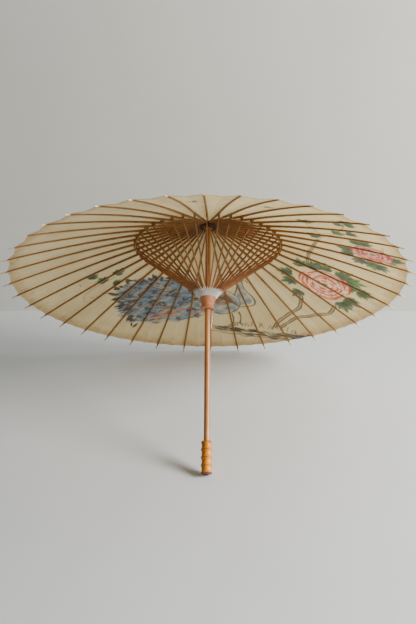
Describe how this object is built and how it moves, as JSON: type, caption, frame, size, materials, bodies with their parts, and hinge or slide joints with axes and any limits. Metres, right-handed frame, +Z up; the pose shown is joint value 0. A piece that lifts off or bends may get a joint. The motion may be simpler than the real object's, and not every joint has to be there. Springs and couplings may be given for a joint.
{
  "type": "oil paper umbrella",
  "caption": "Open paper umbrella with bamboo ribs and stretchers, a notched head and runner, a wire catch and a turned grip, resting on its grip and rim.",
  "frame": {"origin": "centre of the resting box, on the floor", "axes": "+Z up from the floor, +Y from the end of the grip towards the lowest rib tip, +X across the canopy"},
  "size_m": [1, 0.7266, 0.6892],
  "materials": {
    "cane": "satin cane",
    "varnished_grip": "gloss varnish",
    "turned_wood": "matt stained wood",
    "bamboo": "split bamboo",
    "thread": "waxed thread",
    "white_lacing": "cotton thread",
    "oiled_paper": "oiled paper, painted",
    "cap_paper": "lacquered paper",
    "wire": "spring wire"
  },
  "bodies": {
    "frame": {"shaft": "cane", "handle_grip": "varnished_grip", "head": "turned_wood", "head_thread": "thread", "head_pin": "bamboo", "stop_pin": "bamboo", "joint_thread": "thread", "rim_thread": "thread", "canopy": "oiled_paper", "cap_paper": "cap_paper", "finial": "turned_wood"},
    "runner": {"runner": "turned_wood", "runner_thread": "thread", "runner_lacing": "white_lacing", "stretchers": "bamboo"},
    "catch": {"catch_spring": "wire"},
    "rib_01": {"rib_01": "bamboo"},
    "rib_02": {"rib_02": "bamboo"},
    "rib_03": {"rib_03": "bamboo"},
    "rib_04": {"rib_04": "bamboo"},
    "rib_05": {"rib_05": "bamboo"},
    "rib_06": {"rib_06": "bamboo"},
    "rib_07": {"rib_07": "bamboo"},
    "rib_08": {"rib_08": "bamboo"},
    "rib_09": {"rib_09": "bamboo"},
    "rib_10": {"rib_10": "bamboo"},
    "rib_11": {"rib_11": "bamboo"},
    "rib_12": {"rib_12": "bamboo"},
    "rib_13": {"rib_13": "bamboo"},
    "rib_14": {"rib_14": "bamboo"},
    "rib_15": {"rib_15": "bamboo"},
    "rib_16": {"rib_16": "bamboo"},
    "rib_17": {"rib_17": "bamboo"},
    "rib_18": {"rib_18": "bamboo"},
    "rib_19": {"rib_19": "bamboo"},
    "rib_20": {"rib_20": "bamboo"},
    "rib_21": {"rib_21": "bamboo"},
    "rib_22": {"rib_22": "bamboo"},
    "rib_23": {"rib_23": "bamboo"},
    "rib_24": {"rib_24": "bamboo"},
    "rib_25": {"rib_25": "bamboo"},
    "rib_26": {"rib_26": "bamboo"},
    "rib_27": {"rib_27": "bamboo"},
    "rib_28": {"rib_28": "bamboo"},
    "rib_29": {"rib_29": "bamboo"},
    "rib_30": {"rib_30": "bamboo"},
    "rib_31": {"rib_31": "bamboo"},
    "rib_32": {"rib_32": "bamboo"},
    "rib_33": {"rib_33": "bamboo"},
    "rib_34": {"rib_34": "bamboo"},
    "rib_35": {"rib_35": "bamboo"},
    "rib_36": {"rib_36": "bamboo"},
    "rib_37": {"rib_37": "bamboo"},
    "rib_38": {"rib_38": "bamboo"},
    "rib_39": {"rib_39": "bamboo"},
    "rib_40": {"rib_40": "bamboo"}
  },
  "joints": [
    {"name": "runner_slide", "type": "slide", "parent": "frame", "child": "runner", "axis": [0, -0.6878, -0.7259], "range_m": [0, 0.19169], "deforming": ["stretchers", "runner_lacing", "joint_thread", "rim_thread", "canopy", "catch_spring"]},
    {"name": "catch_press", "type": "hinge", "parent": "frame", "child": "catch", "pos_m": [0.0062, -0.07459, 0.2645], "axis": [0, -0.7259, 0.6878], "range_deg": [0, 7], "stiffness_Nm_per_rad": 0.6},
    {"name": "rib_01_hinge", "type": "hinge", "parent": "frame", "child": "rib_01", "pos_m": [0, 0.10189, 0.47474], "axis": [1, 0, 0], "range_deg": [0, 67]},
    {"name": "rib_02_hinge", "type": "hinge", "parent": "frame", "child": "rib_02", "pos_m": [-0.00258, 0.10204, 0.4746], "axis": [0.9877, -0.1136, 0.1076], "range_deg": [0, 67]},
    {"name": "rib_03_hinge", "type": "hinge", "parent": "frame", "child": "rib_03", "pos_m": [-0.0051, 0.10248, 0.47419], "axis": [0.9511, -0.2243, 0.2125], "range_deg": [0, 67]},
    {"name": "rib_04_hinge", "type": "hinge", "parent": "frame", "child": "rib_04", "pos_m": [-0.00749, 0.1032, 0.4735], "axis": [0.891, -0.3296, 0.3123], "range_deg": [0, 67]},
    {"name": "rib_05_hinge", "type": "hinge", "parent": "frame", "child": "rib_05", "pos_m": [-0.0097, 0.10418, 0.47257], "axis": [0.809, -0.4267, 0.4043], "range_deg": [0, 67]},
    {"name": "rib_06_hinge", "type": "hinge", "parent": "frame", "child": "rib_06", "pos_m": [-0.01167, 0.1054, 0.47142], "axis": [0.7071, -0.5133, 0.4863], "range_deg": [0, 67]},
    {"name": "rib_07_hinge", "type": "hinge", "parent": "frame", "child": "rib_07", "pos_m": [-0.01335, 0.10683, 0.47006], "axis": [0.5878, -0.5873, 0.5564], "range_deg": [0, 67]},
    {"name": "rib_08_hinge", "type": "hinge", "parent": "frame", "child": "rib_08", "pos_m": [-0.0147, 0.10844, 0.46854], "axis": [0.454, -0.6468, 0.6128], "range_deg": [0, 67]},
    {"name": "rib_09_hinge", "type": "hinge", "parent": "frame", "child": "rib_09", "pos_m": [-0.01569, 0.11017, 0.4669], "axis": [0.309, -0.6904, 0.6541], "range_deg": [0, 67]},
    {"name": "rib_10_hinge", "type": "hinge", "parent": "frame", "child": "rib_10", "pos_m": [-0.0163, 0.112, 0.46517], "axis": [0.1564, -0.717, 0.6793], "range_deg": [0, 67]},
    {"name": "rib_11_hinge", "type": "hinge", "parent": "frame", "child": "rib_11", "pos_m": [-0.0165, 0.11387, 0.46339], "axis": [0, -0.7259, 0.6878], "range_deg": [0, 67]},
    {"name": "rib_12_hinge", "type": "hinge", "parent": "frame", "child": "rib_12", "pos_m": [-0.0163, 0.11575, 0.46162], "axis": [-0.1564, -0.717, 0.6793], "range_deg": [0, 67]},
    {"name": "rib_13_hinge", "type": "hinge", "parent": "frame", "child": "rib_13", "pos_m": [-0.01569, 0.11757, 0.45988], "axis": [-0.309, -0.6904, 0.6541], "range_deg": [0, 67]},
    {"name": "rib_14_hinge", "type": "hinge", "parent": "frame", "child": "rib_14", "pos_m": [-0.0147, 0.11931, 0.45824], "axis": [-0.454, -0.6468, 0.6128], "range_deg": [0, 67]},
    {"name": "rib_15_hinge", "type": "hinge", "parent": "frame", "child": "rib_15", "pos_m": [-0.01335, 0.12091, 0.45672], "axis": [-0.5878, -0.5873, 0.5564], "range_deg": [0, 67]},
    {"name": "rib_16_hinge", "type": "hinge", "parent": "frame", "child": "rib_16", "pos_m": [-0.01167, 0.12234, 0.45537], "axis": [-0.7071, -0.5133, 0.4863], "range_deg": [0, 67]},
    {"name": "rib_17_hinge", "type": "hinge", "parent": "frame", "child": "rib_17", "pos_m": [-0.0097, 0.12356, 0.45421], "axis": [-0.809, -0.4267, 0.4043], "range_deg": [0, 67]},
    {"name": "rib_18_hinge", "type": "hinge", "parent": "frame", "child": "rib_18", "pos_m": [-0.00749, 0.12454, 0.45328], "axis": [-0.891, -0.3296, 0.3123], "range_deg": [0, 67]},
    {"name": "rib_19_hinge", "type": "hinge", "parent": "frame", "child": "rib_19", "pos_m": [-0.0051, 0.12526, 0.4526], "axis": [-0.9511, -0.2243, 0.2125], "range_deg": [0, 67]},
    {"name": "rib_20_hinge", "type": "hinge", "parent": "frame", "child": "rib_20", "pos_m": [-0.00258, 0.1257, 0.45218], "axis": [-0.9877, -0.1136, 0.1076], "range_deg": [0, 67]},
    {"name": "rib_21_hinge", "type": "hinge", "parent": "frame", "child": "rib_21", "pos_m": [0, 0.12585, 0.45204], "axis": [-1, 0, 0], "range_deg": [0, 67]},
    {"name": "rib_22_hinge", "type": "hinge", "parent": "frame", "child": "rib_22", "pos_m": [0.00258, 0.1257, 0.45218], "axis": [-0.9877, 0.1136, -0.1076], "range_deg": [0, 67]},
    {"name": "rib_23_hinge", "type": "hinge", "parent": "frame", "child": "rib_23", "pos_m": [0.0051, 0.12526, 0.4526], "axis": [-0.9511, 0.2243, -0.2125], "range_deg": [0, 67]},
    {"name": "rib_24_hinge", "type": "hinge", "parent": "frame", "child": "rib_24", "pos_m": [0.00749, 0.12454, 0.45328], "axis": [-0.891, 0.3296, -0.3123], "range_deg": [0, 67]},
    {"name": "rib_25_hinge", "type": "hinge", "parent": "frame", "child": "rib_25", "pos_m": [0.0097, 0.12356, 0.45421], "axis": [-0.809, 0.4267, -0.4043], "range_deg": [0, 67]},
    {"name": "rib_26_hinge", "type": "hinge", "parent": "frame", "child": "rib_26", "pos_m": [0.01167, 0.12234, 0.45537], "axis": [-0.7071, 0.5133, -0.4863], "range_deg": [0, 67]},
    {"name": "rib_27_hinge", "type": "hinge", "parent": "frame", "child": "rib_27", "pos_m": [0.01335, 0.12091, 0.45672], "axis": [-0.5878, 0.5873, -0.5564], "range_deg": [0, 67]},
    {"name": "rib_28_hinge", "type": "hinge", "parent": "frame", "child": "rib_28", "pos_m": [0.0147, 0.11931, 0.45824], "axis": [-0.454, 0.6468, -0.6128], "range_deg": [0, 67]},
    {"name": "rib_29_hinge", "type": "hinge", "parent": "frame", "child": "rib_29", "pos_m": [0.01569, 0.11757, 0.45988], "axis": [-0.309, 0.6904, -0.6541], "range_deg": [0, 67]},
    {"name": "rib_30_hinge", "type": "hinge", "parent": "frame", "child": "rib_30", "pos_m": [0.0163, 0.11575, 0.46162], "axis": [-0.1564, 0.717, -0.6793], "range_deg": [0, 67]},
    {"name": "rib_31_hinge", "type": "hinge", "parent": "frame", "child": "rib_31", "pos_m": [0.0165, 0.11387, 0.46339], "axis": [0, 0.7259, -0.6878], "range_deg": [0, 67]},
    {"name": "rib_32_hinge", "type": "hinge", "parent": "frame", "child": "rib_32", "pos_m": [0.0163, 0.112, 0.46517], "axis": [0.1564, 0.717, -0.6793], "range_deg": [0, 67]},
    {"name": "rib_33_hinge", "type": "hinge", "parent": "frame", "child": "rib_33", "pos_m": [0.01569, 0.11017, 0.4669], "axis": [0.309, 0.6904, -0.6541], "range_deg": [0, 67]},
    {"name": "rib_34_hinge", "type": "hinge", "parent": "frame", "child": "rib_34", "pos_m": [0.0147, 0.10844, 0.46854], "axis": [0.454, 0.6468, -0.6128], "range_deg": [0, 67]},
    {"name": "rib_35_hinge", "type": "hinge", "parent": "frame", "child": "rib_35", "pos_m": [0.01335, 0.10683, 0.47006], "axis": [0.5878, 0.5873, -0.5564], "range_deg": [0, 67]},
    {"name": "rib_36_hinge", "type": "hinge", "parent": "frame", "child": "rib_36", "pos_m": [0.01167, 0.1054, 0.47142], "axis": [0.7071, 0.5133, -0.4863], "range_deg": [0, 67]},
    {"name": "rib_37_hinge", "type": "hinge", "parent": "frame", "child": "rib_37", "pos_m": [0.0097, 0.10418, 0.47257], "axis": [0.809, 0.4267, -0.4043], "range_deg": [0, 67]},
    {"name": "rib_38_hinge", "type": "hinge", "parent": "frame", "child": "rib_38", "pos_m": [0.00749, 0.1032, 0.4735], "axis": [0.891, 0.3296, -0.3123], "range_deg": [0, 67]},
    {"name": "rib_39_hinge", "type": "hinge", "parent": "frame", "child": "rib_39", "pos_m": [0.0051, 0.10248, 0.47419], "axis": [0.9511, 0.2243, -0.2125], "range_deg": [0, 67]},
    {"name": "rib_40_hinge", "type": "hinge", "parent": "frame", "child": "rib_40", "pos_m": [0.00258, 0.10204, 0.4746], "axis": [0.9877, 0.1136, -0.1076], "range_deg": [0, 67]}
  ],
  "couplings": [
    {"joint": "rib_01_hinge", "follows": "runner_slide", "rad_per_m": 6.1002},
    {"joint": "rib_02_hinge", "follows": "runner_slide", "rad_per_m": 6.1002},
    {"joint": "rib_03_hinge", "follows": "runner_slide", "rad_per_m": 6.1002},
    {"joint": "rib_04_hinge", "follows": "runner_slide", "rad_per_m": 6.1002},
    {"joint": "rib_05_hinge", "follows": "runner_slide", "rad_per_m": 6.1002},
    {"joint": "rib_06_hinge", "follows": "runner_slide", "rad_per_m": 6.1002},
    {"joint": "rib_07_hinge", "follows": "runner_slide", "rad_per_m": 6.1002},
    {"joint": "rib_08_hinge", "follows": "runner_slide", "rad_per_m": 6.1002},
    {"joint": "rib_09_hinge", "follows": "runner_slide", "rad_per_m": 6.1002},
    {"joint": "rib_10_hinge", "follows": "runner_slide", "rad_per_m": 6.1002},
    {"joint": "rib_11_hinge", "follows": "runner_slide", "rad_per_m": 6.1002},
    {"joint": "rib_12_hinge", "follows": "runner_slide", "rad_per_m": 6.1002},
    {"joint": "rib_13_hinge", "follows": "runner_slide", "rad_per_m": 6.1002},
    {"joint": "rib_14_hinge", "follows": "runner_slide", "rad_per_m": 6.1002},
    {"joint": "rib_15_hinge", "follows": "runner_slide", "rad_per_m": 6.1002},
    {"joint": "rib_16_hinge", "follows": "runner_slide", "rad_per_m": 6.1002},
    {"joint": "rib_17_hinge", "follows": "runner_slide", "rad_per_m": 6.1002},
    {"joint": "rib_18_hinge", "follows": "runner_slide", "rad_per_m": 6.1002},
    {"joint": "rib_19_hinge", "follows": "runner_slide", "rad_per_m": 6.1002},
    {"joint": "rib_20_hinge", "follows": "runner_slide", "rad_per_m": 6.1002},
    {"joint": "rib_21_hinge", "follows": "runner_slide", "rad_per_m": 6.1002},
    {"joint": "rib_22_hinge", "follows": "runner_slide", "rad_per_m": 6.1002},
    {"joint": "rib_23_hinge", "follows": "runner_slide", "rad_per_m": 6.1002},
    {"joint": "rib_24_hinge", "follows": "runner_slide", "rad_per_m": 6.1002},
    {"joint": "rib_25_hinge", "follows": "runner_slide", "rad_per_m": 6.1002},
    {"joint": "rib_26_hinge", "follows": "runner_slide", "rad_per_m": 6.1002},
    {"joint": "rib_27_hinge", "follows": "runner_slide", "rad_per_m": 6.1002},
    {"joint": "rib_28_hinge", "follows": "runner_slide", "rad_per_m": 6.1002},
    {"joint": "rib_29_hinge", "follows": "runner_slide", "rad_per_m": 6.1002},
    {"joint": "rib_30_hinge", "follows": "runner_slide", "rad_per_m": 6.1002},
    {"joint": "rib_31_hinge", "follows": "runner_slide", "rad_per_m": 6.1002},
    {"joint": "rib_32_hinge", "follows": "runner_slide", "rad_per_m": 6.1002},
    {"joint": "rib_33_hinge", "follows": "runner_slide", "rad_per_m": 6.1002},
    {"joint": "rib_34_hinge", "follows": "runner_slide", "rad_per_m": 6.1002},
    {"joint": "rib_35_hinge", "follows": "runner_slide", "rad_per_m": 6.1002},
    {"joint": "rib_36_hinge", "follows": "runner_slide", "rad_per_m": 6.1002},
    {"joint": "rib_37_hinge", "follows": "runner_slide", "rad_per_m": 6.1002},
    {"joint": "rib_38_hinge", "follows": "runner_slide", "rad_per_m": 6.1002},
    {"joint": "rib_39_hinge", "follows": "runner_slide", "rad_per_m": 6.1002},
    {"joint": "rib_40_hinge", "follows": "runner_slide", "rad_per_m": 6.1002}
  ]
}
